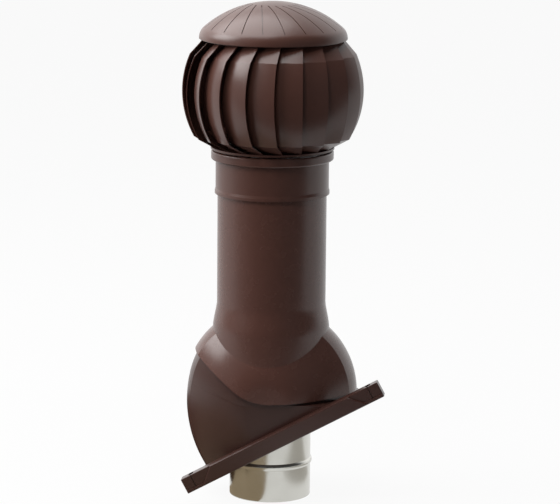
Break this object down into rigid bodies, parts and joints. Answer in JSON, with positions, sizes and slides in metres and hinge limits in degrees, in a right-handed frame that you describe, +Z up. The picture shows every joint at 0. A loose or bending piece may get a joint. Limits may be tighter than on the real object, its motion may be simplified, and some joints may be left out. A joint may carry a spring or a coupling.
{
  "type": "roof ventilation pipe",
  "caption": "Pitched-roof vent pipe: tilting saddle on a roof base, insulated steel duct inside, and a wind-driven bladed rotor with a ribbed dome cap on top.",
  "frame": {"origin": "centre of the steel duct's lower end, where the house duct joins", "axes": "+Z up along the pipe, +X towards the roof ridge (uphill), the saddle tilts about Y"},
  "size_m": [0.3055, 0.2632, 0.734],
  "materials": {
    "brown_plastic": "satin",
    "duct_steel": "bright galvanised",
    "foam": "matte",
    "bracket_steel": "satin",
    "plain_steel": "turned",
    "bearing_steel": "ground"
  },
  "bodies": {
    "base": {"roof_base": "brown_plastic"},
    "pipe": {"outer_pipe": "brown_plastic", "inner_steel_pipe": "duct_steel", "insulation_sleeve": "foam", "neck_collar": "brown_plastic", "shaft_bracket": "bracket_steel", "rotor_shaft": "plain_steel", "shaft_washer": "plain_steel", "shaft_nut": "plain_steel", "shaft_ring": "plain_steel"},
    "rotor": {"rotor_cap": "brown_plastic", "rotor_hub": "brown_plastic", "hub_screws": "plain_steel", "lower_bearing": "bearing_steel", "upper_bearing": "bearing_steel", "rotor_top_ring": "brown_plastic", "rotor_bottom_ring": "brown_plastic", "blade_01": "brown_plastic", "blade_02": "brown_plastic", "blade_03": "brown_plastic", "blade_04": "brown_plastic", "blade_05": "brown_plastic", "blade_06": "brown_plastic", "blade_07": "brown_plastic", "blade_08": "brown_plastic", "blade_09": "brown_plastic", "blade_10": "brown_plastic", "blade_11": "brown_plastic", "blade_12": "brown_plastic", "blade_13": "brown_plastic", "blade_14": "brown_plastic", "blade_15": "brown_plastic", "blade_16": "brown_plastic", "blade_17": "brown_plastic", "blade_18": "brown_plastic", "blade_19": "brown_plastic", "blade_20": "brown_plastic"}
  },
  "joints": [
    {"name": "pipe_tilt", "type": "hinge", "parent": "base", "child": "pipe", "pos_m": [0, 0, 0.157], "axis": [0, -1, 0], "range_deg": [-3, 20]},
    {"name": "rotor_spin", "type": "hinge", "parent": "pipe", "child": "rotor", "pos_m": [0, 0, 0.63], "axis": [0, 0, 1], "continuous": true}
  ]
}
